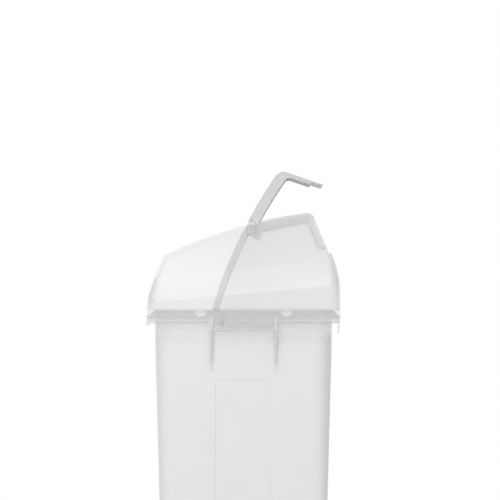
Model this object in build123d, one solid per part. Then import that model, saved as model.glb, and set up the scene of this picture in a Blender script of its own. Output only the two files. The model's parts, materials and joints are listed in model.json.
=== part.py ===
from build123d import *
from math import atan2, cos, hypot, radians, sin, sqrt, tan
import os

# Swing-lid bin: a tapered bin body, a hood that lifts off its rim, and a one-way swing flap on two pins.
# Frame in mm: origin at the middle of the floor, +X towards the back of the bin, +Z up. The front is at -X.
# The flap's axis lies along Y, and -Y is the near side. The flap is modelled swung open.

# Bin body
foot_length = 349.6
foot_width = 278.6
foot_corner_radius = 26.0
foot_edge_radius = 12.0
body_draft = 1.5
body_wall = 2.4
floor_wall = 3.0
foot_ring_width = 16.0
foot_hollow_depth = 3.5

# Rim of the bin body, with the dip of its parting line at both ends
rim_top = 481.0
rim_overhang = 16.0
rim_corner_radius = 24.0
rim_wall = 2.5
rim_skirt_depth = 27.5
end_dip = 10.5
end_dip_length = 19.5
end_dip_flat = 3.0
end_dip_profile = [(0, 0), (0.2, 0.1), (0.8, 0.9), (1, 1)]

# Grip zones, where the rim's skirt hangs deeper
side_grip_length = 149.0
side_grip_depth = 15.5
end_grip_width = 150.0
front_grip_depth = 5.0
front_lip_flare = 2.2
back_grip_depth = 21.0
back_lip_lean = 1.5
back_lip_edge = 1.3
grip_corner_radius = 4.0

# Gusset ribs under the side grips
gusset_spacing = 135.4
gusset_width = 6.0
gusset_drop = 131.0

# Shallow panel in each side of the body, below the gussets
panel_inset = 0.8
panel_length = 118.0
panel_drop = 146.0
panel_foot_margin = 60.0
panel_corner_radius = 12.0

# Locating tabs of the hood, which drop into notches in the rim
tab_spacing = 180.5
tab_length = 8.4
tab_depth = 5.6
tab_wall = 2.0
tab_gap = 0.4

# Hood, with its heights counted from the top of the rim
parting_gap = 0.2
hood_wall = 2.4
hood_side_lean = 5.0
hood_corner_radius = 24.0
hood_section_count = 14
hood_section_margin = 15.0
front_base_radius = 150.0
front_lean = 20.0
front_wall_height = 67.0
back_arc_rise = 30.0
back_arc_radius = 228.0
shoulder_rise = 120.0
back_slope_lean = 23.2
back_wall_height = 134.0
crown_radius = 987.0
front_corner_setback = 32.7
front_corner_rise = 113.2
back_corner_setback = 60.4
back_corner_rise = 205.4
front_corner_fillet = 9.0
back_corner_fillet = 14.0

# Side panels of the hood, which lean in above a rising crease and end upright
crease_base = 34.5
crease_rise = 4.8
panel_lean = 34.0
side_panel_set_in = 20.0
side_panel_end_gap = 20.9

# Opening in the top of the hood, and the recess for the flap's outer skirts
opening_ledge = 7.0
recess_depth = 3.2
recess_height = 19.5
recess_slope_height = 15.0
recess_lead = 9.4
recess_end_rise = 132.0
pocket_length = 42.0
pocket_drop = 6.0

# Plug rib under the hood that drops into the bin's mouth
plug_wall = 2.0
plug_depth = 10.0
plug_gap = 0.9

# Hinge
pivot_x = 17.4
pivot_drop = 6.7
pin_radius = 3.5
pin_head_radius = 5.6
pin_head_thickness = 1.4
pin_ear_clearance = 0.03
pin_lug_clearance = 0.08
ear_radius = 7.6
ear_neck_drop = 22.0

# Swing flap
flap_open_angle = 48.0
flap_rise = 5.6
hook_rise = 4.3
flap_back_wall = 3.2
flap_front_wall = 1.9
flap_skirt_wall = 2.4
back_skirt_depth = 21.5
hook_skirt_depth = 8.0
front_skirt_depth = 12.4
opening_gap = 1.3
wide_plate_start = 5.0
outer_skirt_start = 11.0
inner_skirt_end = 9.0
hook_end_rise = 123.0
hook_tongue_length = 21.0
nose_gap = 1.4
nose_lean = 15.2
nose_end_rise = 68.6
front_bend_radius = 15.0
back_bend_radius = 21.0
least_fillet = 1.0
skirt_bend_radius = 11.0
nose_corner_radius = 16.0
hook_corner_radius = 8.0

# Hinge lugs under the flap
lug_gap = 1.4
lug_wall = 5.0
lug_front = 11.2
lug_back = 8.5
lug_drop = 26.6
lug_foot = 12.0
lug_corner_radius = 3.0

# Reach of the cutting tools
FAR = 900.0

rim_bottom = rim_top - rim_skirt_depth
rim_end = foot_length / 2 + rim_top * tan(radians(body_draft)) + rim_overhang
rim_side = foot_width / 2 + rim_top * tan(radians(body_draft)) + rim_overhang
front_corner_x = front_corner_setback - rim_end
front_corner_z = rim_top + front_corner_rise
back_corner_x = rim_end - back_corner_setback
back_corner_z = rim_top + back_corner_rise
hood_top_half_width = rim_side - side_panel_set_in
opening_half_width = hood_top_half_width - opening_ledge
hook_end_z = rim_top + hook_end_rise
nose_end_z = rim_top + nose_end_rise


def xz_solid(face, half_width):
    """A face drawn with x and height, taken out to both sides along Y."""
    return extrude(Plane.XZ * face, amount=half_width, both=True)


def xz_polygon(points, half_width):
    return xz_solid(make_face(Polyline(*points, close=True)), half_width)


def yz_polygon(points, half_length):
    """A polygon drawn with y and height, taken out both ways along X."""
    return extrude(Plane.YZ * make_face(Polyline(*points, close=True)), amount=half_length, both=True)


def span_box(x_span, y_span, z_span):
    """A box between two corners."""
    size = [high - low for low, high in (x_span, y_span, z_span)]
    middle = [(high + low) / 2 for low, high in (x_span, y_span, z_span)]
    return Pos(*middle) * Box(*size)


def zone(x_span, z_span):
    """A rectangle in the side view."""
    size = (x_span[1] - x_span[0], z_span[1] - z_span[0])
    return Pos((x_span[0] + x_span[1]) / 2, (z_span[0] + z_span[1]) / 2) * Rectangle(*size)


def both_sides(shape):
    """The shape and its mirror image on the other side of the bin."""
    return [shape, mirror(shape, Plane.XZ)]


def rounded_prism(length, width, radius, low, high):
    return Pos(0, 0, low) * extrude(RectangleRounded(length, width, radius), amount=high - low)


# Bin body
def body_half(foot_size, height):
    """Half of the body's outer size at a height above the floor."""
    return foot_size / 2 + height * tan(radians(body_draft))


def body_block(inset, low, high):
    """The tapered body between two heights, inset from its outer face."""
    length = 2 * (body_half(foot_length, low) - inset)
    width = 2 * (body_half(foot_width, low) - inset)
    outline = RectangleRounded(length, width, foot_corner_radius - inset)
    return Pos(0, 0, low) * extrude(outline, amount=high - low, taper=-body_draft)


def below_parting(drop):
    """Everything under the parting surface, which is level along the sides and dips at both ends."""
    start = rim_end - end_dip_length
    length = end_dip_length - end_dip_flat
    top = rim_top - drop
    right = [(start + length * along, top - end_dip * down) for along, down in end_dip_profile]
    right += [(FAR, top - end_dip)]
    left = [(-x, z) for x, z in reversed(right)]
    return xz_polygon(left + right + [(FAR, -FAR), (-FAR, -FAR)], FAR)


def grip_face(length, depth):
    """The part of a skirt that stays: the plain skirt and one deeper zone with rounded lower corners."""
    plain = Pos(0, rim_bottom + FAR / 2) * Rectangle(2 * FAR, FAR)
    deep = Pos(0, rim_bottom) * RectangleRounded(length, 2 * depth, grip_corner_radius)
    return plain + deep


def rim_skirt():
    low = rim_bottom - back_grip_depth
    ring = rounded_prism(2 * rim_end, 2 * rim_side, rim_corner_radius, low, rim_top)
    ring -= rounded_prism(2 * (rim_end - rim_wall), 2 * (rim_side - rim_wall), rim_corner_radius - rim_wall,
                          low, rim_top)
    return ring & xz_solid(grip_face(side_grip_length, side_grip_depth), FAR)


def front_lip():
    """The front grip zone, flared outwards."""
    bottom = rim_bottom - front_grip_depth
    top = rim_top - end_dip
    inner = -rim_end + rim_wall
    points = [(-rim_end, top), (-rim_end - front_lip_flare, bottom), (inner, bottom), (inner, top)]
    keep = extrude(Plane.YZ * grip_face(end_grip_width, front_grip_depth), amount=FAR, both=True)
    return xz_polygon(points, end_grip_width / 2) & keep


def back_lip():
    """The back grip zone, which leans in to a thin edge."""
    bottom = rim_bottom - back_grip_depth
    outer = rim_end - back_lip_lean
    points = [(rim_end, rim_bottom), (outer, bottom), (outer - back_lip_edge, bottom)]
    points += [(rim_end - rim_wall, rim_bottom)]
    keep = extrude(Plane.YZ * grip_face(end_grip_width, back_grip_depth), amount=FAR, both=True)
    return xz_polygon(points, end_grip_width / 2) & keep


def gussets():
    """Ribs that carry the side grips on the body's wall."""
    top = rim_top - rim_wall
    wall_top = body_half(foot_width, top) - body_wall / 2
    gusset_bottom = rim_top - gusset_drop
    wall_bottom = body_half(foot_width, gusset_bottom)
    skirt = rim_side - rim_wall / 2
    outline = [(wall_top, top), (skirt, top), (skirt, rim_bottom - side_grip_depth), (wall_bottom, gusset_bottom)]
    outline += [(wall_bottom - body_wall / 2, gusset_bottom)]
    rib = yz_polygon(outline, gusset_width / 2)
    ribs = [Pos(side * gusset_spacing / 2, 0, 0) * rib for side in (-1, 1)]
    return [part for rib in ribs for part in both_sides(rib)]


def side_panels():
    """Tools that sink a shallow rounded panel into each side of the body."""
    height = rim_top - panel_drop - panel_foot_margin
    outline = Pos(0, panel_foot_margin + height / 2) * RectangleRounded(panel_length, height, panel_corner_radius)
    skin = body_block(-rim_wall, 0, rim_top) - body_block(panel_inset, 0, rim_top)
    return xz_solid(outline, FAR) & skin


def tab_boxes(length, y_inner, y_outer, low, high):
    """A box at each place on the long sides where a tab of the hood sits in a notch of the rim."""
    boxes = []
    for x in (-tab_spacing / 2, tab_spacing / 2):
        boxes += both_sides(span_box((x - length / 2, x + length / 2), (y_inner, y_outer), (low, high)))
    return boxes


def tab_notches():
    return tab_boxes(tab_length + 2 * tab_gap, rim_side - tab_wall - 2 * tab_gap, rim_side + tab_gap,
                     rim_top - tab_depth - tab_gap, rim_top + tab_gap)


def make_bin_body():
    outer = body_block(0, 0, rim_top)
    foot_edges = outer.faces().sort_by(Axis.Z)[0].edges()
    outer = fillet(foot_edges, foot_edge_radius)
    cavity_floor = foot_hollow_depth + floor_wall
    cavity = body_block(body_wall, cavity_floor, rim_top + floor_wall)
    floor_edges = cavity.faces().sort_by(Axis.Z)[0].edges()
    cavity = fillet(floor_edges, foot_edge_radius - body_wall)
    hollow_length = foot_length - 2 * foot_ring_width
    hollow_width = foot_width - 2 * foot_ring_width
    hollow = rounded_prism(hollow_length, hollow_width, foot_corner_radius / 2, -1, foot_hollow_depth)
    flange = rounded_prism(2 * rim_end, 2 * rim_side, rim_corner_radius, rim_bottom, rim_top)
    flange -= below_parting(rim_wall)
    body = outer + flange + rim_skirt() + gussets() + [front_lip(), back_lip()]
    body = body - cavity - hollow - side_panels() - tab_notches()
    return body & below_parting(0)


# Hood outline: a crown arc between two leaning lines
crown_chord = hypot(back_corner_x - front_corner_x, back_corner_z - front_corner_z)
crown_tilt = atan2(back_corner_z - front_corner_z, back_corner_x - front_corner_x)
crown_height = sqrt(crown_radius ** 2 - crown_chord ** 2 / 4)
crown_centre_x = (front_corner_x + back_corner_x) / 2 + crown_height * sin(crown_tilt)
crown_centre_z = (front_corner_z + back_corner_z) / 2 - crown_height * cos(crown_tilt)


def crown_z(x, radius):
    """Height of a circle about the crown's centre."""
    return crown_centre_z + sqrt(radius ** 2 - (x - crown_centre_x) ** 2)


def line_x(line, z):
    """A leaning line is its x and z at one point and its lean, positive when it goes to +X as it rises."""
    x, start_z, lean = line
    return x + (z - start_z) * tan(radians(lean))


def shifted(line, distance):
    """The line moved sideways by a distance square to itself, towards +X."""
    x, z, lean = line
    return (x + distance / cos(radians(lean)), z, lean)


def meet(line, radius):
    """The upper point where a leaning line meets a circle about the crown's centre."""
    slope = tan(radians(line[2]))
    offset = line_x(line, crown_centre_z) - crown_centre_x
    a = 1 + slope ** 2
    rise = (-offset * slope + sqrt((offset * slope) ** 2 - a * (offset ** 2 - radius ** 2))) / a
    return (line_x(line, crown_centre_z + rise), crown_centre_z + rise)


def crown_face(radius, front_line, back_line, front_fillet, back_fillet, low):
    """The region under a crown arc and between two leaning lines."""
    front = meet(front_line, radius)
    back = meet(back_line, radius)
    middle_x = (front[0] + back[0]) / 2
    arc = ThreePointArc(front, (middle_x, crown_z(middle_x, radius)), back)
    front_foot = (line_x(front_line, low), low)
    back_foot = (line_x(back_line, low), low)
    outline = Curve() + [Line(front_foot, front), arc, Line(back, back_foot), Line(back_foot, front_foot)]
    face = make_face(outline)
    for corner, radius_here in ((front, front_fillet), (back, back_fillet)):
        if radius_here > 0:
            corners = face.vertices().sort_by_distance(corner + (0,))
            face = fillet(corners[0], radius_here)
    return face


pivot_z = crown_z(pivot_x, crown_radius) - pivot_drop
front_line = (front_corner_x, front_corner_z, front_lean)
back_slope = (back_corner_x, back_corner_z, -back_slope_lean)


def front_x(inset, z):
    """The hood's front wall: upright at its foot, then an arc, then a straight lean."""
    radius = front_base_radius - inset
    lean = radians(front_lean)
    foot_x = inset - rim_end
    wall_line = shifted(front_line, inset)
    arc_end_x = foot_x + radius * (1 - cos(lean))
    arc_end_z = wall_line[1] - (wall_line[0] - arc_end_x) / tan(lean)
    above = z - (arc_end_z - radius * sin(lean))
    if z >= arc_end_z:
        return line_x(wall_line, z)
    return foot_x + radius - sqrt(radius ** 2 - max(above, 0) ** 2)


def back_x(inset, z):
    """The hood's back wall: upright at its foot, then an arc, then a straight lean beside the back slope."""
    radius = back_arc_radius - inset
    lean = radians(back_slope_lean)
    above = max(z - rim_top - back_arc_rise, 0)
    past_arc = max(above - radius * sin(lean), 0)
    on_arc = above - past_arc
    return rim_end - back_arc_radius + sqrt(radius ** 2 - on_arc ** 2) - past_arc * tan(lean)


def crown_limit_face(inset):
    """What the crown, the back slope and its shoulder leave of the hood, seen from the side."""
    front = shifted(front_line, inset)
    slope = shifted(back_slope, -inset)
    low = front_corner_z - 3 * front_corner_fillet
    face = crown_face(crown_radius - inset, front, slope, front_corner_fillet - inset, back_corner_fillet - inset, 0)
    below_shoulder = zone((0, FAR), (0, rim_top + shoulder_rise - inset))
    below_front = zone((-FAR, 0), (0, low))
    return face + below_shoulder + below_front


def side_half_width(inset, z):
    """Half width of the hood's leaning side plane at a height."""
    return rim_side - inset / cos(radians(hood_side_lean)) - (z - rim_top) * tan(radians(hood_side_lean))


def side_scoops(inset):
    """Tools that cut the hood's side panels, drawn along the rising crease."""
    lean = radians(panel_lean)
    crease_height = rim_top + crease_base
    crease_y = side_half_width(0, crease_height)
    radius = (crease_y - hood_top_half_width) / (1 - cos(lean))
    centre = (hood_top_half_width + radius, radius * sin(lean))
    inner_radius = radius + inset

    def on_arc(angle):
        return (centre[0] - inner_radius * cos(angle), centre[1] - inner_radius * sin(angle))

    top = (hood_top_half_width - inset, FAR / 2)
    start = on_arc(0)
    end = on_arc(lean)
    run = rim_side
    foot = (end[0] + run * sin(lean), end[1] - run * cos(lean))
    outline = Curve() + [
        Line(top, start),
        ThreePointArc(start, on_arc(lean / 2), end),
        Line(end, foot),
        Line(foot, (foot[0], FAR / 2)),
        Line((foot[0], FAR / 2), top),
    ]
    rise = radians(crease_rise)
    start = Vector(0, 0, crease_height) - Vector(cos(rise), 0, sin(rise)) * FAR
    section = Plane(origin=start, x_dir=(0, 1, 0), z_dir=(cos(rise), 0, sin(rise)))
    tool = extrude(section * make_face(outline), amount=2 * FAR)
    tool &= span_box((-FAR, rim_end - side_panel_end_gap + inset), (-FAR, FAR), (-FAR, FAR))
    return both_sides(tool)


def recess_face(extra):
    """The band along the back half of the crown and down the back slope, seen from the side."""
    front = pivot_x - recess_lead - extra
    low = rim_top + recess_end_rise - extra
    slope = shifted(back_slope, -recess_slope_height - extra)
    level = crown_radius - recess_height - extra
    keep = crown_face(level, front_line, slope, 0, max(back_corner_fillet - extra, least_fillet), 0)
    deep_keep = crown_face(level - pocket_drop, front_line, slope, 0, 0, 0)
    band = zone((front, FAR), (low, FAR)) - keep
    pocket = zone((front, pivot_x - recess_lead + pocket_length + extra), (low, FAR)) - deep_keep
    return band + pocket


def recess_tools(extra):
    tool = xz_solid(recess_face(extra), FAR)
    inner = hood_top_half_width - recess_depth - extra
    return tool - span_box((-FAR, FAR), (-inner, inner), (-FAR, FAR))


def hood_block(inset):
    """The hood's form without its hollow, inset from its outer face."""
    sections = []
    lowest = rim_top - hood_section_margin
    step = (back_corner_z + hood_section_margin - lowest) / (hood_section_count - 1)
    for level in range(hood_section_count):
        z = lowest + step * level
        front = front_x(inset, z)
        back = back_x(inset, z)
        outline = RectangleRounded(back - front, 2 * side_half_width(inset, z), hood_corner_radius - inset)
        sections.append(Pos((front + back) / 2, 0, z) * outline)
    block = loft(sections) & xz_solid(crown_limit_face(inset), FAR)
    return block - side_scoops(inset)


def make_hood():
    mouth_length = 2 * (body_half(foot_length, rim_top) - body_wall - plug_gap)
    mouth_width = 2 * (body_half(foot_width, rim_top) - body_wall - plug_gap)
    plug_radius = foot_corner_radius + rim_top * tan(radians(body_draft)) - body_wall - plug_gap
    low = rim_top - plug_depth
    high = rim_top + parting_gap + hood_wall
    plug = rounded_prism(mouth_length, mouth_width, plug_radius, low, high)
    throat = rounded_prism(mouth_length - 2 * plug_wall, mouth_width - 2 * plug_wall, plug_radius - plug_wall,
                           low - plug_depth, high + plug_wall)
    outer = hood_block(0) - recess_tools(0) - (below_parting(-parting_gap) - plug)
    inner = hood_block(hood_wall) - recess_tools(hood_wall) - (below_parting(-parting_gap - hood_wall) - throat)
    front_top = rim_top + front_wall_height
    back_top = rim_top + back_wall_height
    opening = [(-FAR, front_top), (0, front_top), (0, back_top), (FAR, back_top)]
    hood = outer - inner - xz_polygon(opening + [(FAR, FAR), (-FAR, FAR)], opening_half_width)
    hood = hood + locating_tabs() + hinge_ears()
    return hood - pin_shaft(pin_radius + pin_ear_clearance, rim_side)


def locating_tabs():
    outer = rim_side - tab_gap
    return tab_boxes(tab_length, outer - tab_wall, outer, rim_top - tab_depth, rim_top + parting_gap + hood_wall / 2)


def disc(radius, y_low, y_high):
    """A round plate about the flap's axis, between two distances from the middle, on the +Y side."""
    plate = Plane.XZ * Pos(pivot_x, pivot_z) * Circle(radius)
    return Pos(0, y_high, 0) * extrude(plate, amount=y_high - y_low)


def pin_shaft(radius, reach):
    plate = Plane.XZ * Pos(pivot_x, pivot_z) * Circle(radius)
    return extrude(plate, amount=reach, both=True)


def hinge_ears():
    """Round ears on the hood's side walls that carry the pins, each on a short neck."""
    ear = disc(ear_radius, opening_half_width, hood_top_half_width)
    neck = span_box((pivot_x - ear_radius, pivot_x + ear_radius), (opening_half_width, hood_top_half_width),
                    (pivot_z - ear_neck_drop, pivot_z))
    return both_sides(ear + neck)


def make_hinge_pin():
    """The far pin: a head outside the ear and a shaft that ends flush with the lug's inner face."""
    inner = opening_half_width - lug_gap - lug_wall
    shaft = disc(pin_radius, inner, hood_top_half_width + pin_head_thickness / 2)
    head = disc(pin_head_radius, hood_top_half_width, hood_top_half_width + pin_head_thickness)
    head = fillet(head.edges().sort_by(Axis.Y)[-1], pin_head_thickness / 2)
    return shaft + head


# Swing flap, drawn closed and then turned open
def flap_face(depth_top, depth_nose, depth_hook, least_bend=least_fillet):
    """The region under the flap's outer face, inset by a depth along its top, nose and hook."""
    top_radius = crown_radius + flap_rise
    nose_corner_x = front_corner_x + nose_gap
    nose_line = (nose_corner_x, crown_z(nose_corner_x, top_radius), nose_lean)
    hook_line = shifted(back_slope, hook_rise - depth_hook)
    front_bend = max(front_bend_radius - depth_top, least_bend)
    back_bend = max(back_bend_radius - depth_top, least_bend)
    return crown_face(top_radius - depth_top, shifted(nose_line, depth_nose), hook_line, front_bend, back_bend, 0)


def turned_open(shape):
    """The closed flap turned about its axis to the open pose."""
    axis = Axis((pivot_x, 0, pivot_z), (0, 1, 0))
    return shape.rotate(axis, -flap_open_angle)


def wall_pair(face, outer, wall):
    """A face from the side, made a wall of a thickness on both sides of the flap."""
    return xz_solid(face, outer) - span_box((-FAR, FAR), (wall - outer, outer - wall), (-FAR, FAR))


def rounded_end(half_width, low, radius):
    """Everything above a free end with rounded corners, seen from the front."""
    outline = Pos(0, FAR) * RectangleRounded(2 * half_width, 2 * (FAR - low), radius)
    return extrude(Plane.YZ * outline, amount=FAR, both=True)


def make_swing_flap():
    wide = hood_top_half_width
    narrow = opening_half_width - opening_gap
    split = pivot_x + wide_plate_start
    back_zone = zone((split, FAR), (hook_end_z, FAR))
    front_zone = zone((-FAR, split + rim_wall), (nose_end_z, FAR))
    outer_face = flap_face(0, 0, 0)
    back_plate = xz_solid((outer_face - flap_face(flap_back_wall, flap_back_wall, flap_back_wall)) & back_zone, wide)
    front_plate = xz_solid((outer_face - flap_face(flap_front_wall, flap_front_wall, flap_front_wall)) & front_zone,
                           narrow)
    front_plate &= rounded_end(narrow, nose_end_z, nose_corner_radius)
    back_plate &= rounded_end(wide, hook_end_z, hook_corner_radius)
    outer_zone = zone((pivot_x + outer_skirt_start, FAR), (hook_end_z + hook_tongue_length, FAR))
    outer_free = flap_face(back_skirt_depth, back_skirt_depth, hook_skirt_depth, skirt_bend_radius)
    outer_skirt = (outer_face - outer_free) & outer_zone
    inner_zone = zone((-FAR, pivot_x - inner_skirt_end), (nose_end_z + nose_corner_radius, FAR))
    inner_free = flap_face(front_skirt_depth, front_skirt_depth, front_skirt_depth, skirt_bend_radius)
    inner_skirt = (outer_face - inner_free) & inner_zone
    flap = back_plate + front_plate + wall_pair(outer_skirt, wide, flap_skirt_wall)
    flap += wall_pair(inner_skirt, narrow, flap_skirt_wall)
    flap += hinge_lugs()
    flap -= pin_shaft(pin_radius + pin_lug_clearance, rim_side)
    return turned_open(flap)


def hinge_lugs():
    """Tabs under the flap that the pins pass through, longer towards the front."""
    top = crown_z(pivot_x, crown_radius + flap_rise) - flap_front_wall
    outline = [(pivot_x - lug_front, top), (pivot_x - lug_front, pivot_z - lug_drop)]
    outline += [(pivot_x - lug_front + lug_foot, pivot_z - lug_drop), (pivot_x + lug_back, pivot_z - lug_back)]
    outline += [(pivot_x + lug_back, top)]
    face = make_face(Polyline(*outline, close=True)) & flap_face(flap_front_wall / 2, flap_front_wall, flap_front_wall)
    low_corners = face.vertices().sort_by(Axis.Y)[:3]
    face = fillet(low_corners, lug_corner_radius)
    return wall_pair(face, opening_half_width - lug_gap, lug_wall)


def main():
    os.makedirs("parts", exist_ok=True)
    far_pin = make_hinge_pin()
    parts = {
        "bin_body": make_bin_body(),
        "hood": make_hood(),
        "swing_flap": make_swing_flap(),
        "hinge_pin_near": mirror(far_pin, Plane.XZ),
        "hinge_pin_far": far_pin,
    }
    for name, shape in parts.items():
        export_step(shape, f"parts/{name}.step")


main()
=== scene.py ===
import json
import math
from collections import namedtuple

import bmesh
import bpy
from mathutils import Euler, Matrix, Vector


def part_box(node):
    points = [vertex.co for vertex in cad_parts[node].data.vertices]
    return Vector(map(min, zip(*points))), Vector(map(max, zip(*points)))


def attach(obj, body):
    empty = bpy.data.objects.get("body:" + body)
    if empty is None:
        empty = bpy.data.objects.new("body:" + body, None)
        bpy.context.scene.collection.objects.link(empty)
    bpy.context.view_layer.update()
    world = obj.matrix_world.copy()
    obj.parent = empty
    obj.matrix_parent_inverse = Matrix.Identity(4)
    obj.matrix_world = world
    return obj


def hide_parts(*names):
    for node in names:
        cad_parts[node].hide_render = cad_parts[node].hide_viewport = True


bl_info = {
    "name": "Swing-lid bin finishes",
    "version": (1, 0, 0),
    "blender": (4, 5, 0),
    "location": "View3D > Sidebar > Swing Bin",
    "description": "Frosted plastic finishes, turned hinge pins and a studio for a swing-lid bin",
    "category": "Object",
}

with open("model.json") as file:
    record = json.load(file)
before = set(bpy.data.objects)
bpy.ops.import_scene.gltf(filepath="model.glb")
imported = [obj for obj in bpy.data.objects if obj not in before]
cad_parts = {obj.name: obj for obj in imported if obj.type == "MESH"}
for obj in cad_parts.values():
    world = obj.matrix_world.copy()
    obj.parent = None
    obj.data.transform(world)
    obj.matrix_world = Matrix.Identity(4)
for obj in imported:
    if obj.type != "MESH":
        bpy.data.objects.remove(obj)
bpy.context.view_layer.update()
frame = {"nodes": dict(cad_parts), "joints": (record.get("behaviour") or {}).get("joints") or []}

# The rim and what sits in it, in metres
RIM_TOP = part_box("bin_body")[1][2]
RIM_BOTTOM = RIM_TOP - 0.0275
SIDE_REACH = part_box("bin_body")[1][1]
GRIP_REACH = 0.0745
GRIP_DEPTH = 0.0155
GUSSET_PLACE = 0.0677
STEP_DROP = 0.0212
PLUG_REACH = 0.1605
TAB_PLACE = 0.09025

# The painted highlights round the tabs, in metres, and how strong they are
HIGHLIGHT_DROP = 0.006
HIGHLIGHT_LENGTH = 0.015
HIGHLIGHT_HEIGHT = 0.011
HIGHLIGHT_SHARE = 0.75

# The hood, in metres and degrees, with points as X and Z
CROWN_CENTRE = (0.26063, -0.29356)
CROWN_RADIUS = 0.987
CREASE_BASE = 0.0345
CREASE_RISE = 4.8
FRONT_CORNER = (-0.1707, 0.5942)
FRONT_LEAN = -20.0
BACK_CORNER = (0.1430, 0.6864)
BACK_LEAN = 23.2
PANEL_REACH = 0.1825
RECESS_LEVEL = 0.9675
RECESS_WIDTH = 0.015
RECESS_START = 0.0082
RECESS_FOOT = 0.613
CRISP_EDGE = 0.0006

# The hinge and the flap's nose, in metres
HINGE_PLACE = next(joint["pos_m"] for joint in frame["joints"] if joint["name"] == "flap_swing")
PIVOT = (HINGE_PLACE[0], HINGE_PLACE[2])
EAR_RADIUS = 0.0076
NOSE_SIDE = 0.129

# Outline of a hinge pin from its head inwards, as radius and depth from the head's outer face, in metres
PIN_OUTLINE = (
    (0.0, 0.0007), (0.0030, 0.0006), (0.0037, 0.0003), (0.0042, 0.0), (0.0049, 0.0), (0.00535, 0.0002),
    (0.00555, 0.0007), (0.00555, 0.0014), (0.0035, 0.0014), (0.0035, 0.0138), (0.0032, 0.0145),
    (0.0026, 0.0148), (0.0015, 0.0148), (0.0011, 0.0142), (0.0, 0.0142))
PIN_STEPS = 64
PIN_CREASE = math.radians(35.0)
SAME_POINT = 0.000001

# How the frosted plastic varies: shares of the tint, of the opacity and of the roughness
DEEPEST_TINT = 0.975
PALEST_TINT = 1.02
# Tint of faces seen edge-on from the sides, a painted shade
EDGE_ON_SHADE = 0.93
EDGE_ON_RANGE = (0.25, 0.85)
CLOUD_SHARE = 0.5
STREAK_SHARE = 0.35
CLOUD_OPACITY = 0.05
GRAIN_ROUGHNESS = 0.12
DUST_ROUGHNESS = 0.1
STREAK_SCALE = (34.0, 34.0, 3.0)
DUST_SCALE = 90.0
SINK_SCALE = 9.0
SINK_DEPTH = 0.0003

# The studio, in metres
FLOOR_RADIUS = 1.4
FLOOR_STEPS = 96
FLOOR_GREY = 0.86
FLOOR_WHITE = 0.7
LAMP_AIM = (0.0, 0.0, 0.45)
OVERHEAD_PLACE = (-0.3, -0.6, 3.0)
OVERHEAD_SIZE = 2.6
FRONT_PLACE = (-0.9, -3.6, 1.7)
FRONT_SIZE = 3.0

# Where a moulding looks different, how bright its tint is there, which in most zones is painted shade or
# painted light, and its opacity, or None where that stays
Zone = namedtuple("Zone", ("find_mask", "brightness", "opacity"), defaults=(None,))


class Value:
    """A shader socket that Python's operators work on, through Math nodes."""

    def __init__(self, material_nodes, socket):
        self.nodes = material_nodes
        self.socket = socket

    def math(self, operation, *others):
        node = self.nodes.tree.nodes.new("ShaderNodeMath")
        node.operation = operation
        for place, value in enumerate((self,) + others):
            self.nodes.feed(node.inputs[place], value)
        return Value(self.nodes, node.outputs[0])

    def __add__(self, other):
        return self.math("ADD", other)

    def __radd__(self, other):
        return self.math("ADD", other)

    def __sub__(self, other):
        return self.math("SUBTRACT", other)

    def __rsub__(self, other):
        return (self * -1.0).math("ADD", other)

    def __mul__(self, other):
        return self.math("MULTIPLY", other)

    def __rmul__(self, other):
        return self.math("MULTIPLY", other)

    def __truediv__(self, other):
        return self.math("DIVIDE", other)

    def unsigned(self):
        return self.math("ABSOLUTE")

    def clamped(self):
        return self.math("MAXIMUM", 0.0).math("MINIMUM", 1.0)

    def ramp(self, low, high):
        """0 below the low value, 1 above the high one, and a smooth rise between."""
        return self.nodes.add("ShaderNodeMapRange", {"interpolation_type": "SMOOTHSTEP"},
                              {"Value": self, "From Min": low, "From Max": high})["Result"]

    def past(self, level, start, end):
        """A ramp that starts and ends so far from a level."""
        return self.ramp(level + start, level + end)


class Nodes:
    """The nodes of one material or world."""

    def __init__(self, tree):
        self.tree = tree
        tree.nodes.clear()

    def feed(self, socket, value):
        """Sets a socket to a plain value, or links a Value to it."""
        if isinstance(value, Value):
            self.tree.links.new(value.socket, socket)
        else:
            socket.default_value = value

    def add(self, kind, settings=None, sockets=None):
        """A node with its settings made first and then its sockets filled. Gives its outputs by name."""
        node = self.tree.nodes.new(kind)
        for name, setting in (settings or {}).items():
            setattr(node, name, setting)
        named = {socket.name: socket for socket in node.inputs if socket.enabled}
        for name, value in (sockets or {}).items():
            self.feed(node.inputs[name] if isinstance(name, int) else named[name], value)
        return {output.name: Value(self, output) for output in node.outputs if output.enabled}

    def noise(self, place, scale, detail, roughness=0.5):
        return self.add("ShaderNodeTexNoise", None, {
            "Vector": place, "Scale": scale, "Detail": detail, "Roughness": roughness})["Fac"]

    def painted(self, mask, under, over):
        """One colour over another, where the mask is 1."""
        return self.add("ShaderNodeMix", {"data_type": "RGBA"},
                        {"Factor": mask, "A": under, "B": over})["Result"]

    def background_rays(self):
        """1 for the rays that look at the background, straight, through plastic or in a gloss."""
        rays = self.add("ShaderNodeLightPath")
        through = rays["Is Camera Ray"].math("MAXIMUM", rays["Is Transmission Ray"])
        return through.math("MAXIMUM", rays["Is Glossy Ray"])


def brightened(tint, brightness):
    """A tint made paler or deeper, as a colour socket takes it."""
    return (*(min(1.0, channel * brightness) for channel in tint), 1.0)


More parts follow.
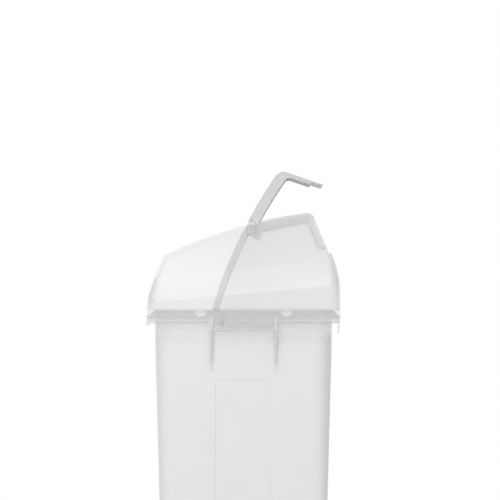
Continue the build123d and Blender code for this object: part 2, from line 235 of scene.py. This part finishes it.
def frosted_plastic(name, finish, tint, opacity, wall_opacity, zones=()):
    """Frosted polypropylene: flow marks, a fine spark texture, soft sink marks and see-through walls.

    Opacity is that of one face seen straight on, and wall opacity that of one seen edge-on from the side,
    whose tint also gets a painted shade. The zones show where the moulding is thicker or thinner, or lies in
    more than one layer, and most of them also paint shade or light into the tint.
    """
    material = bpy.data.materials.new(name)
    material.use_nodes = True
    nodes = Nodes(material.node_tree)
    place = nodes.add("ShaderNodeTexCoord")["Object"]
    axes = nodes.add("ShaderNodeSeparateXYZ", None, {"Vector": place})
    normal = nodes.add("ShaderNodeNewGeometry")["Normal"]
    facing = nodes.add("ShaderNodeSeparateXYZ", None, {"Vector": normal})
    stretched = nodes.add("ShaderNodeMapping", None, {"Vector": place, "Scale": STREAK_SCALE})["Vector"]
    cloud = nodes.noise(place, finish.flow_scale, detail=3.0, roughness=0.45)
    streaks = nodes.noise(stretched, 1.0, detail=2.0)
    grain = nodes.noise(place, finish.grain_scale, detail=2.0, roughness=0.6)
    dust = nodes.noise(place, DUST_SCALE, detail=4.0)
    sinks = nodes.noise(place, SINK_SCALE, detail=1.0)
    shade = (cloud - 0.5) * CLOUD_SHARE + (streaks - 0.5) * STREAK_SHARE + 0.5
    colour = nodes.painted(shade.clamped(), brightened(tint, DEEPEST_TINT), brightened(tint, PALEST_TINT))
    # Faces turned away from the sides hide more, for the longer way through the wall at a slant, and get a
    # painted shade
    edge_on = 1.0 - facing["Y"].unsigned().ramp(*EDGE_ON_RANGE)
    colour = nodes.painted(edge_on, colour, brightened(tint, EDGE_ON_SHADE))
    alpha = opacity + (wall_opacity - opacity) * edge_on + (cloud - 0.5) * CLOUD_OPACITY
    for zone in zones:
        mask = zone.find_mask(axes)
        colour = nodes.painted(mask, colour, brightened(tint, zone.brightness))
        if zone.opacity is not None:
            alpha = alpha + (zone.opacity - alpha) * mask
    roughness = finish.roughness + (grain - 0.5) * GRAIN_ROUGHNESS + (dust - 0.5) * DUST_ROUGHNESS
    relief = grain * finish.grain_depth + sinks * SINK_DEPTH
    softened = nodes.add("ShaderNodeBevel", {"samples": 4}, {"Radius": finish.edge_softness})["Normal"]
    bump = nodes.add("ShaderNodeBump", None,
                     {"Strength": 0.6, "Distance": 1.0, "Height": relief, "Normal": softened})["Normal"]
    shader = nodes.add("ShaderNodeBsdfPrincipled", None, {
        "Base Color": colour, "Roughness": roughness, "Alpha": alpha.clamped(), "Normal": bump, "IOR": 1.49,
        "Subsurface Weight": finish.softness, "Subsurface Radius": (1.0, 1.0, 1.0), "Subsurface Scale": 0.004,
        "Sheen Weight": 0.03, "Sheen Roughness": 0.4})["BSDF"]
    nodes.add("ShaderNodeOutputMaterial", None, {"Surface": shader})
    material.surface_render_method = "BLENDED"
    return material


def distance(axes, centre):
    """Distance from a point of the side view."""
    across = axes["X"] - centre[0]
    up = axes["Z"] - centre[1]
    return (across * across + up * up).math("SQRT")


def beyond_line(axes, corner, lean):
    """Distance behind a line through a corner, which leans from upright by so many degrees."""
    angle = math.radians(lean)
    return (axes["X"] - corner[0]) * math.cos(angle) + (axes["Z"] - corner[1]) * math.sin(angle)


def rim_walls(axes):
    """The height of the rim's skirt, where the light goes through several walls."""
    return axes["Z"].past(RIM_BOTTOM, start=-0.055, end=-0.014)


def rim_ledge_shade(axes):
    """Painted shade on the top of the rim's skirt, in front of the hood's plug rib."""
    return axes["Z"].past(RIM_TOP, start=-0.022, end=-0.012)


def within_grips(axes):
    """The length of the side grips."""
    return 1.0 - axes["X"].unsigned().past(GRIP_REACH, start=-0.001, end=0.001)


def rim_shade(axes):
    """Painted shade for the walls behind each other at the rim and the shade under its skirt, deeper at the
    side grips.
    """
    plain = axes["Z"].past(RIM_BOTTOM, start=-0.044, end=0.004)
    deep = axes["Z"].past(RIM_BOTTOM, start=-0.024, end=-0.010) * within_grips(axes)
    top = axes["Z"].past(RIM_TOP, start=-0.013, end=-0.003)
    return plain.math("MAXIMUM", deep) * (1.0 - top * 0.5)


def mouth_step_light(axes):
    """The step in the bin's wall behind the skirt, where the wall is thinner; painted light lifts the shade
    under it.
    """
    beside = (axes["Z"] - (RIM_TOP - STEP_DROP)).unsigned()
    return 1.0 - beside.ramp(0.0005, 0.0036)


def gusset_shade(axes):
    """Painted shade on the ribs under the side grips, which show through the skirt as soft lines."""
    beside = (axes["X"].unsigned() - GUSSET_PLACE).unsigned()
    above_foot = axes["Z"].past(RIM_TOP, start=-0.131, end=-0.1)
    below_top = 1.0 - axes["Z"].past(RIM_TOP, start=-0.02, end=-0.01)
    return (1.0 - beside.ramp(0.0022, 0.0048)) * above_foot * below_top


def grip_edge_shade(axes):
    """The thick lower edge of the side grips, with painted shade on it."""
    low = RIM_BOTTOM - GRIP_DEPTH
    above_low = axes["Z"].past(low, start=-0.001, end=0.0)
    below_top = 1.0 - axes["Z"].past(low, start=0.0025, end=0.004)
    outside = axes["Y"].unsigned().past(SIDE_REACH, start=-0.004, end=-0.003)
    return below_top * above_low * within_grips(axes) * outside


def tab_highlight(axes):
    """Soft painted highlights on the rim round the hood's tabs."""
    along = (axes["X"].unsigned() - TAB_PLACE) / HIGHLIGHT_LENGTH
    up = (axes["Z"] - (RIM_TOP - HIGHLIGHT_DROP)) / HIGHLIGHT_HEIGHT
    near = (1.0 - (along * along + up * up)).ramp(0.0, 1.0)
    return near * axes["Y"].unsigned().past(SIDE_REACH, start=-0.003, end=-0.001) * HIGHLIGHT_SHARE


def upper_hood_shade(axes):
    """Painted shade on the upper part of the hood, where its walls lean in towards the crown."""
    return axes["Z"].past(RIM_TOP, start=0.035, end=0.17)


def lower_side_shade(axes):
    """Painted shade on the hood's sides below the rising crease of its panels."""
    above = axes["Z"] - axes["X"] * math.tan(math.radians(CREASE_RISE)) - (RIM_TOP + CREASE_BASE)
    return 1.0 - above.ramp(-0.0015, 0.0005)


def hood_end_shade(axes):
    """Painted shade on the rounded corners beyond the hood's side panels, and on the edge of its front slope.
    """
    slope_edge = 1.0 - beyond_line(axes, FRONT_CORNER, FRONT_LEAN).ramp(0.010, 0.013)
    corners = axes["X"].unsigned().past(PANEL_REACH, start=-0.001, end=0.001)
    return slope_edge.math("MAXIMUM", corners)


def crown_edge_shade(axes):
    """Painted shade at the edge of the hood's crown, where its ledge turns in."""
    return distance(axes, CROWN_CENTRE).past(CROWN_RADIUS, start=-0.0075, end=-0.0035)


def behind_hinge(axes):
    """The part of the hood behind the flap's axis and above the foot of its recess."""
    above_foot = axes["Z"].past(RECESS_FOOT, start=-0.004, end=0.002)
    return axes["X"].past(RECESS_START, start=-CRISP_EDGE, end=CRISP_EDGE) * above_foot


def crown_recess_shade(axes):
    """The recess under the crown that the flap's skirts drop into: more opaque for its double walls, with
    painted shade.
    """
    beside_crown = distance(axes, CROWN_CENTRE).past(RECESS_LEVEL, start=-CRISP_EDGE, end=CRISP_EDGE)
    return beside_crown * behind_hinge(axes)


def slope_recess_shade(axes):
    """The same recess down the back slope, with the same painted shade."""
    from_slope = beyond_line(axes, BACK_CORNER, BACK_LEAN)
    beside_slope = from_slope.past(-RECESS_WIDTH, start=-CRISP_EDGE, end=CRISP_EDGE)
    below_crown = 1.0 - distance(axes, CROWN_CENTRE).past(RECESS_LEVEL, start=-0.004, end=0.004)
    return beside_slope * below_crown * behind_hinge(axes)


def hinge_ears(axes):
    """The round ears that carry the pins."""
    return 1.0 - distance(axes, PIVOT).past(EAR_RADIUS, start=0.0, end=0.001)


def plug_rib(axes):
    """The hood's rib inside the bin's mouth."""
    inside = 1.0 - axes["Y"].unsigned().past(PLUG_REACH, start=-0.0005, end=0.0)
    return inside * (1.0 - axes["Z"].past(RIM_TOP, start=-0.001, end=0.0005))


def tabs(axes):
    """The hood's tabs, which lie below its parting line and outside its plug rib."""
    below_parting = 1.0 - axes["Z"].past(RIM_TOP, start=-0.0002, end=0.0004)
    return below_parting * axes["Y"].unsigned().past(PLUG_REACH, start=-0.0005, end=0.0025)


def nose_side_shade(axes):
    """Painted shade on the side edges of the flap's nose, which show through the rim."""
    below_rim = 1.0 - axes["Z"].past(RIM_TOP, start=-0.004, end=0.01)
    return axes["Y"].unsigned().past(NOSE_SIDE, start=-0.001, end=0.001) * below_rim


def hinge_light(axes):
    """The flap round and above its axis, made more see-through and painted paler: painted light over the
    shade at the hinge.
    """
    near = 1.0 - distance(axes, PIVOT).ramp(1.6 * EAR_RADIUS, 2.6 * EAR_RADIUS)
    return near * axes["Z"].past(PIVOT[1], start=-0.005, end=0.001)


def spun_pin(context, name, centre, outward):
    """A hinge pin turned from its outline, with a dished head facing outwards."""
    shape = bmesh.new()
    points = [shape.verts.new((radius, -depth * outward, 0.0)) for radius, depth in PIN_OUTLINE]
    edges = [shape.edges.new(pair) for pair in zip(points, points[1:])]
    bmesh.ops.spin(shape, geom=points + edges, cent=(0.0, 0.0, 0.0), axis=(0.0, 1.0, 0.0),
                   angle=2.0 * math.pi, steps=PIN_STEPS, use_merge=True)
    bmesh.ops.remove_doubles(shape, verts=shape.verts, dist=SAME_POINT)
    bmesh.ops.recalc_face_normals(shape, faces=shape.faces)
    bmesh.ops.translate(shape, vec=centre, verts=shape.verts)
    mesh = bpy.data.meshes.new(name)
    shape.to_mesh(mesh)
    shape.free()
    mesh.shade_smooth()
    mesh.set_sharp_from_angle(angle=PIN_CREASE)
    pin = bpy.data.objects.new(name, mesh)
    context.collection.objects.link(pin)
    return pin


def dress(node_name, material):
    """Gives a CAD node one material."""
    piece = frame["nodes"][node_name]
    piece.data.materials.clear()
    piece.data.materials.append(material)


class FinishSettings(bpy.types.PropertyGroup):
    """Colours and textures of the frosted plastic."""

    body_tint: bpy.props.FloatVectorProperty(
        name="Bin tint", description="Colour of the bin body", subtype="COLOR", size=3,
        default=(0.865, 0.865, 0.865), min=0.0, max=1.0)
    hood_tint: bpy.props.FloatVectorProperty(
        name="Hood tint", description="Colour of the hood", subtype="COLOR", size=3,
        default=(0.885, 0.885, 0.885), min=0.0, max=1.0)
    flap_tint: bpy.props.FloatVectorProperty(
        name="Flap tint", description="Colour of the swing flap", subtype="COLOR", size=3,
        default=(0.70, 0.70, 0.70), min=0.0, max=1.0)
    pin_tint: bpy.props.FloatVectorProperty(
        name="Pin tint", description="Colour of the hinge pins", subtype="COLOR", size=3,
        default=(0.70, 0.70, 0.70), min=0.0, max=1.0)
    body_opacity: bpy.props.FloatProperty(
        name="Bin opacity", description="How much one face of the bin's side walls hides", subtype="FACTOR",
        default=0.62, min=0.0, max=1.0)
    rim_opacity: bpy.props.FloatProperty(
        name="Rim opacity", description="How much one face of the rim's walls hides", subtype="FACTOR",
        default=0.24, min=0.0, max=1.0)
    hood_opacity: bpy.props.FloatProperty(
        name="Hood opacity", description="How much one face of the hood's side walls hides",
        subtype="FACTOR", default=0.25, min=0.0, max=1.0)
    recess_opacity: bpy.props.FloatProperty(
        name="Recess opacity", description="How much one face of the hood hides along the flap's recess",
        subtype="FACTOR", default=0.6, min=0.0, max=1.0)
    flap_opacity: bpy.props.FloatProperty(
        name="Flap opacity", description="How much one face of the flap hides", subtype="FACTOR",
        default=0.62, min=0.0, max=1.0)
    roughness: bpy.props.FloatProperty(
        name="Roughness", description="Mean roughness of the frosted faces", subtype="FACTOR",
        default=0.42, min=0.0, max=1.0)
    softness: bpy.props.FloatProperty(
        name="Softness", description="Share of light that scatters under the surface", subtype="FACTOR",
        default=0.2, min=0.0, max=1.0)
    flow_scale: bpy.props.FloatProperty(
        name="Flow mark scale", description="Flow marks per metre", default=5.0, min=0.1, max=50.0)
    grain_scale: bpy.props.FloatProperty(
        name="Grain scale", description="Grains of the mould's texture per metre", default=1400.0, min=10.0,
        max=5000.0)
    grain_depth: bpy.props.FloatProperty(
        name="Grain depth", description="Depth of the mould's texture", subtype="DISTANCE", unit="LENGTH",
        default=0.00008, min=0.0, max=0.001, precision=5)
    edge_softness: bpy.props.FloatProperty(
        name="Edge softness", description="Radius that the mouldings' edges seem to have",
        subtype="DISTANCE", unit="LENGTH", default=0.0009, min=0.0, max=0.01, precision=5)


class StudioSettings(bpy.types.PropertyGroup):
    """Camera and lamps."""

    camera_place: bpy.props.FloatVectorProperty(
        name="Camera place", description="Where the camera stands", subtype="TRANSLATION", unit="LENGTH",
        size=3, default=(0.0136, -14.0, 0.418))
    aim_height: bpy.props.FloatProperty(
        name="Aim height", description="Height that the camera looks at, at the bin's near side",
        unit="LENGTH", default=0.607)
    aim_depth: bpy.props.FloatProperty(
        name="Aim depth", description="Depth of the point that the camera looks at", unit="LENGTH",
        default=-0.15)
    lens: bpy.props.FloatProperty(name="Lens", description="Focal length in millimetres", default=474.8)
    ambient: bpy.props.FloatProperty(
        name="Ambient light", description="Strength of the light from all round", default=0.64, min=0.0)
    overhead: bpy.props.FloatProperty(
        name="Overhead lamp", description="Power of the large lamp above the bin", subtype="POWER",
        default=24.0)
    front: bpy.props.FloatProperty(
        name="Front lamp", description="Power of the lamp beside the camera", subtype="POWER", default=60.0)


class BinOperator(bpy.types.Operator):
    """Shared options of the bin's operators."""

    bl_options = {"REGISTER", "UNDO"}


class SWINGBIN_OT_body(BinOperator):
    """Give the bin body its frosted plastic, with painted shade at the rim, grips and ribs and painted light
    at the step and tabs
    """

    bl_idname = "swingbin.body"
    bl_label = "Finish Bin Body"

    def execute(self, context):
        finish = context.scene.swingbin_finish
        dress("bin_body", frosted_plastic(
            "bin_plastic", finish, finish.body_tint, opacity=finish.body_opacity, wall_opacity=0.85, zones=(
                Zone(rim_walls, brightness=1.0, opacity=finish.rim_opacity),
                Zone(rim_ledge_shade, brightness=0.9, opacity=0.42),
                Zone(rim_shade, brightness=0.82),
                Zone(mouth_step_light, brightness=0.94),
                Zone(gusset_shade, brightness=0.82, opacity=0.6),
                Zone(grip_edge_shade, brightness=0.8, opacity=0.6),
                Zone(tab_highlight, brightness=1.08, opacity=0.75))))
        return {"FINISHED"}


class SWINGBIN_OT_hood(BinOperator):
    """Give the hood its clearer frosted plastic, with painted shade on its upper part, lower sides, corners,
    crown edge and recess
    """

    bl_idname = "swingbin.hood"
    bl_label = "Finish Hood"

    def execute(self, context):
        finish = context.scene.swingbin_finish
        dress("hood", frosted_plastic(
            "hood_plastic", finish, finish.hood_tint, opacity=finish.hood_opacity, wall_opacity=0.55, zones=(
                Zone(upper_hood_shade, brightness=0.88, opacity=0.3),
                Zone(lower_side_shade, brightness=0.91, opacity=0.29),
                Zone(hood_end_shade, brightness=0.92),
                Zone(crown_edge_shade, brightness=0.84, opacity=0.32),
                Zone(crown_recess_shade, brightness=0.755, opacity=finish.recess_opacity),
                Zone(slope_recess_shade, brightness=0.83, opacity=finish.recess_opacity),
                Zone(hinge_ears, brightness=0.94, opacity=0.4),
                Zone(plug_rib, brightness=1.0, opacity=0.14),
                Zone(tabs, brightness=0.96, opacity=0.6))))
        return {"FINISHED"}


class SWINGBIN_OT_flap(BinOperator):
    """Give the swing flap its denser frosted plastic, with painted shade on its nose and painted light round
    its hinge
    """

    bl_idname = "swingbin.flap"
    bl_label = "Finish Swing Flap"

    def execute(self, context):
        finish = context.scene.swingbin_finish
        dress("swing_flap", frosted_plastic(
            "flap_plastic", finish, finish.flap_tint, opacity=finish.flap_opacity, wall_opacity=0.85, zones=(
                Zone(nose_side_shade, brightness=0.72, opacity=1.0),
                Zone(hinge_light, brightness=1.35, opacity=0.3))))
        return {"FINISHED"}


class SWINGBIN_OT_pins(BinOperator):
    """Turn the two hinge pins with dished heads"""

    bl_idname = "swingbin.pins"
    bl_label = "Make Hinge Pins"

    def execute(self, context):
        finish = context.scene.swingbin_finish
        material = frosted_plastic("pin_plastic", finish, finish.pin_tint, opacity=0.5, wall_opacity=0.8)
        for side, outward in (("near", -1.0), ("far", 1.0)):
            node_name = "hinge_pin_" + side
            low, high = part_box(node_name)
            centre = (low + high) / 2.0
            centre.y = low.y if outward < 0.0 else high.y
            pin = spun_pin(context, "dished_pin_" + side, centre, outward)
            pin.data.materials.append(material)
            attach(pin, "hood")
            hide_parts(node_name)
        return {"FINISHED"}


class SWINGBIN_OT_studio(BinOperator):
    """Build the floor, the lamps, the white surroundings and the camera"""

    bl_idname = "swingbin.studio"
    bl_label = "Build Studio"

    def execute(self, context):
        studio = context.scene.swingbin_studio
        self.make_floor(context)
        self.make_world(context, studio)
        self.make_lamp(context, "overhead_lamp", OVERHEAD_PLACE, OVERHEAD_SIZE, studio.overhead)
        self.make_lamp(context, "front_lamp", FRONT_PLACE, FRONT_SIZE, studio.front)
        self.make_camera(context, studio)
        return {"FINISHED"}

    def make_floor(self, context):
        mesh = bpy.data.meshes.new("floor")
        shape = bmesh.new()
        bmesh.ops.create_circle(shape, cap_ends=True, segments=FLOOR_STEPS, radius=FLOOR_RADIUS)
        shape.to_mesh(mesh)
        shape.free()
        floor = bpy.data.objects.new("floor", mesh)
        context.collection.objects.link(floor)
        material = bpy.data.materials.new("pale_floor")
        material.use_nodes = True
        nodes = Nodes(material.node_tree)
        seen = nodes.background_rays()
        matt = nodes.add("ShaderNodeBsdfDiffuse", None, {"Color": (FLOOR_GREY, FLOOR_GREY, FLOOR_GREY, 1.0)})
        glow = nodes.add("ShaderNodeEmission", None, {"Color": (1.0, 1.0, 1.0, 1.0), "Strength": 1.0})
        place = nodes.add("ShaderNodeTexCoord")["Object"]
        outward = nodes.add("ShaderNodeVectorMath", {"operation": "LENGTH"}, {0: place})["Value"]
        fade = outward.ramp(0.3 * FLOOR_RADIUS, 0.9 * FLOOR_RADIUS)
        white = fade * (1.0 - FLOOR_WHITE) + FLOOR_WHITE
        surface = nodes.add("ShaderNodeMixShader", None,
                            {0: seen * white, 1: matt["BSDF"], 2: glow["Emission"]})
        nodes.add("ShaderNodeOutputMaterial", None, {"Surface": surface["Shader"]})
        floor.data.materials.append(material)

    def make_world(self, context, studio):
        world = bpy.data.worlds.new("white_room")
        world.use_nodes = True
        context.scene.world = world
        nodes = Nodes(world.node_tree)
        strength = studio.ambient + nodes.background_rays() * (1.0 - studio.ambient)
        glow = nodes.add("ShaderNodeBackground", None, {"Color": (1.0, 1.0, 1.0, 1.0), "Strength": strength})
        nodes.add("ShaderNodeOutputWorld", None, {"Surface": glow["Background"]})

    def make_lamp(self, context, name, place, size, power):
        lamp = bpy.data.lights.new(name, "AREA")
        lamp.shape = "DISK"
        lamp.size = size
        lamp.energy = power
        holder = bpy.data.objects.new(name, lamp)
        holder.location = place
        aim = Vector(LAMP_AIM) - Vector(place)
        holder.rotation_euler = aim.to_track_quat("-Z", "Y").to_euler()
        context.collection.objects.link(holder)

    def make_camera(self, context, studio):
        camera = bpy.data.cameras.new("photo_camera")
        camera.lens = studio.lens
        camera.sensor_width = 36.0
        camera.clip_end = 50.0
        holder = bpy.data.objects.new("photo_camera", camera)
        place = Vector(studio.camera_place)
        holder.location = place
        pitch = math.atan2(studio.aim_height - place.z, studio.aim_depth - place.y)
        holder.rotation_euler = Euler((math.pi / 2 + pitch, 0.0, 0.0))
        context.collection.objects.link(holder)
        context.scene.camera = holder
        context.scene.view_settings.view_transform = "Standard"


class SWINGBIN_PT_panel(bpy.types.Panel):
    """The bin's steps and settings"""

    bl_label = "Swing Bin"
    bl_idname = "SWINGBIN_PT_panel"
    bl_space_type = "VIEW_3D"
    bl_region_type = "UI"
    bl_category = "Swing Bin"

    def draw(self, context):
        for operator in STEPS:
            self.layout.operator(operator.bl_idname)
        for settings in (context.scene.swingbin_finish, context.scene.swingbin_studio):
            box = self.layout.box()
            for name in settings.bl_rna.properties.keys():
                if name not in {"rna_type", "name"}:
                    box.prop(settings, name)


STEPS = (SWINGBIN_OT_body, SWINGBIN_OT_hood, SWINGBIN_OT_flap, SWINGBIN_OT_pins, SWINGBIN_OT_studio)
CLASSES = (FinishSettings, StudioSettings) + STEPS + (SWINGBIN_PT_panel,)


def register():
    for each in CLASSES:
        bpy.utils.register_class(each)
    bpy.types.Scene.swingbin_finish = bpy.props.PointerProperty(type=FinishSettings)
    bpy.types.Scene.swingbin_studio = bpy.props.PointerProperty(type=StudioSettings)


def unregister():
    del bpy.types.Scene.swingbin_studio
    del bpy.types.Scene.swingbin_finish
    for each in reversed(CLASSES):
        bpy.utils.unregister_class(each)


def main():
    register()
    bpy.ops.swingbin.body()
    bpy.ops.swingbin.hood()
    bpy.ops.swingbin.flap()
    bpy.ops.swingbin.pins()
    bpy.ops.swingbin.studio()


if __name__ == "__main__":
    main()
